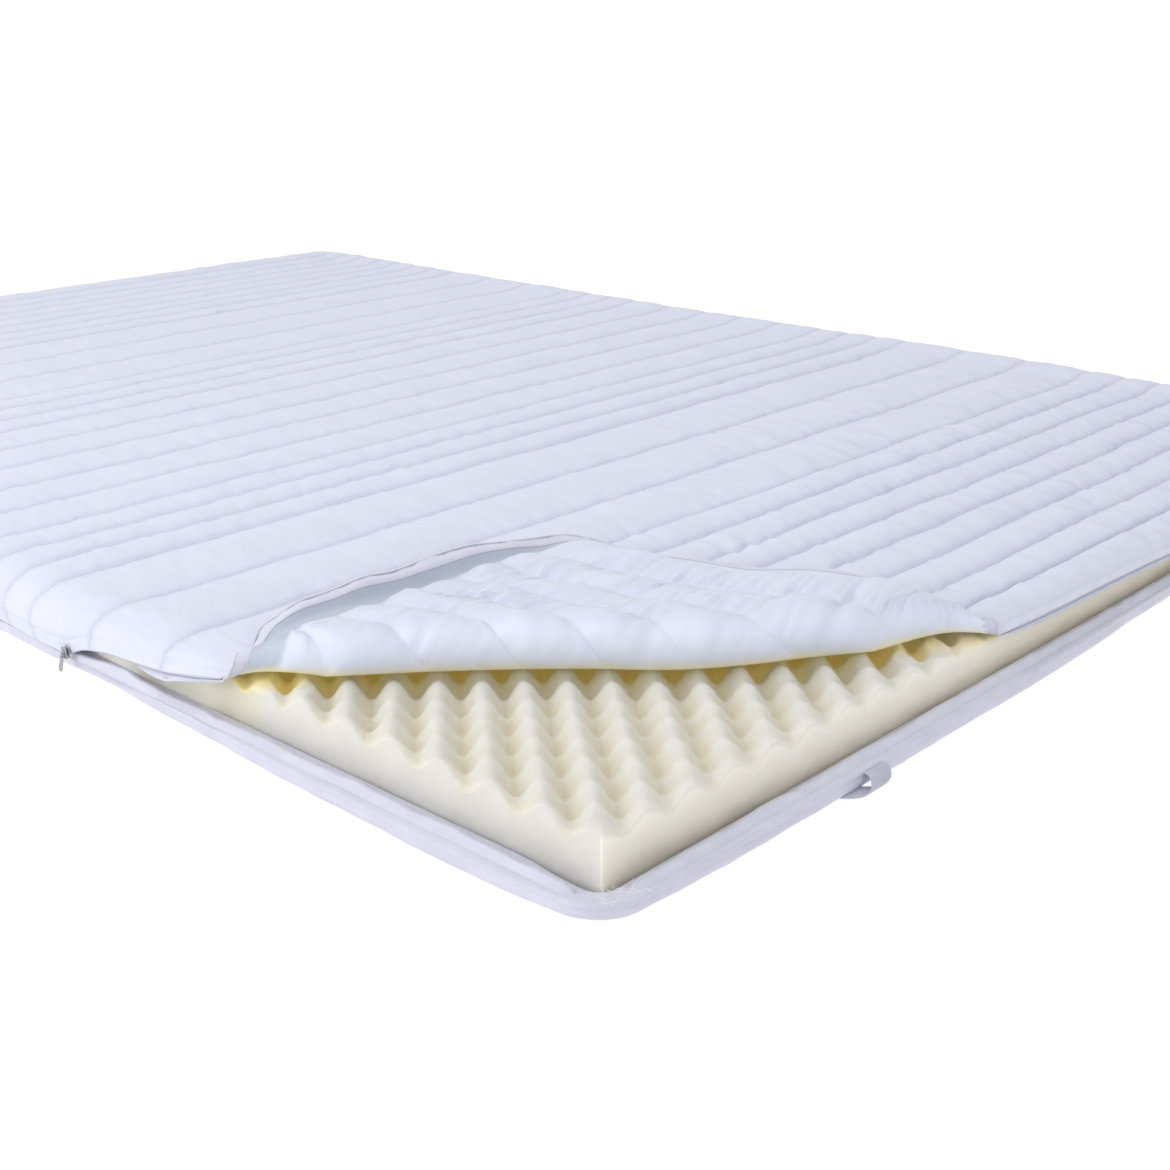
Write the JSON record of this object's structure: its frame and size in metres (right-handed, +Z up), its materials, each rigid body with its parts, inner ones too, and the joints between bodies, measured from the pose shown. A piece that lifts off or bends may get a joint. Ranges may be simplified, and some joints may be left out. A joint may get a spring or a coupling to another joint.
{
  "type": "mattress topper with zip cover",
  "caption": "Egg-crate foam mattress topper lying flat in a channel-quilted zip cover, with one corner unzipped and folded back.",
  "frame": {"origin": "middle of the 1.4 m by 2.0 m footprint, on the underside that the topper rests on", "axes": "+Y along the long sides, away from the folded corner; +X along the short sides, away from the folded corner; +Z up"},
  "size_m": [1.4232, 2.019, 0.0964],
  "materials": {
    "foam": "matt open-cell foam",
    "cover_cloth": "soft quilted knit",
    "lining_cloth": "smooth thin lining",
    "zip_tape": "woven tape",
    "zip_metal": "dull grey metal",
    "elastic": "woven elastic"
  },
  "bodies": {
    "root": {"foam_core": "foam", "cover_top": "cover_cloth", "cover_lining": "lining_cloth", "cover_bottom": "cover_cloth", "zip_tape_top": "zip_tape", "zip_tape_bottom": "zip_tape", "zip_slider": "zip_metal", "zip_pull": "zip_metal", "strap_loop": "elastic"}
  },
  "joints": []
}
